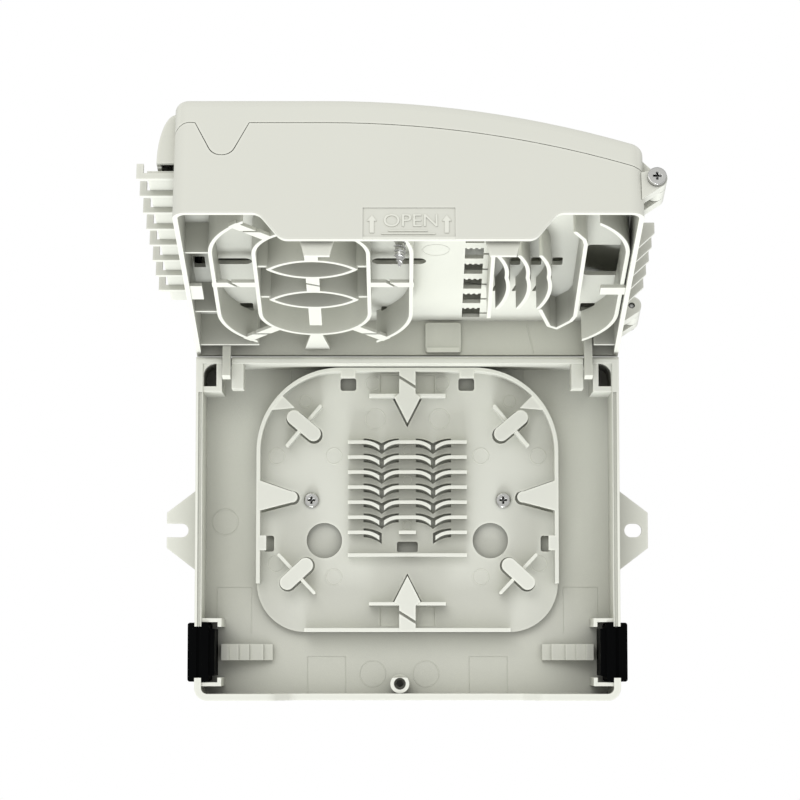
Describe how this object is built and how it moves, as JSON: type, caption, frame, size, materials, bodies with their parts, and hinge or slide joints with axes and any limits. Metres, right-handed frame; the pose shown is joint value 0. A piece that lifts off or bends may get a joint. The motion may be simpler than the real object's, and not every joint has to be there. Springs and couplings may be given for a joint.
{
  "type": "fibre distribution box",
  "caption": "Wall-mount fibre distribution box: back shell with splice tray and rubber cable seals, hinged swing panel with coil drum, adapter cradles and drop ports, and a domed lid.",
  "frame": {"origin": "centre of the flat back face, midway between the two wall ears", "axes": "+Z out of the wall, +Y towards the swing panel's hinge edge, +X towards the lid's hinge side; stored with the swing panel standing open and the lid closed on it"},
  "size_m": [0.2322, 0.2585, 0.1848],
  "materials": {
    "shell": "satin moulded plastic, warm white",
    "tray": "satin moulded plastic, warm white",
    "rubber": "matt black rubber",
    "screw": "bright plated steel",
    "washer": "dark retaining washer",
    "grommet": "matt dark grey rubber"
  },
  "bodies": {
    "base": {"base_housing": "shell", "splice_tray": "tray", "tray_screws": "screw", "cable_seal_left": "rubber", "cable_seal_right": "rubber"},
    "panel": {"swing_panel": "shell", "cover_screw": "screw", "cover_screw_washer": "washer", "lid_pivot_screws": "screw", "port_grommet_1": "grommet", "port_grommet_2": "grommet", "port_grommet_3": "grommet", "port_grommet_4": "grommet", "port_grommet_5": "grommet", "port_grommet_6": "grommet", "port_grommet_7": "grommet", "port_grommet_8": "grommet"},
    "lid": {"front_lid": "shell"}
  },
  "joints": [
    {"name": "panel_hinge", "type": "hinge", "parent": "base", "child": "panel", "pos_m": [0, 0.0788, 0.0288], "axis": [1, 0, 0], "range_deg": [0, 106]},
    {"name": "lid_hinge", "type": "hinge", "parent": "panel", "child": "lid", "pos_m": [0.1055, 0.12051, 0.09881], "axis": [0, -0.2756, -0.9613], "range_deg": [0, 110]}
  ]
}
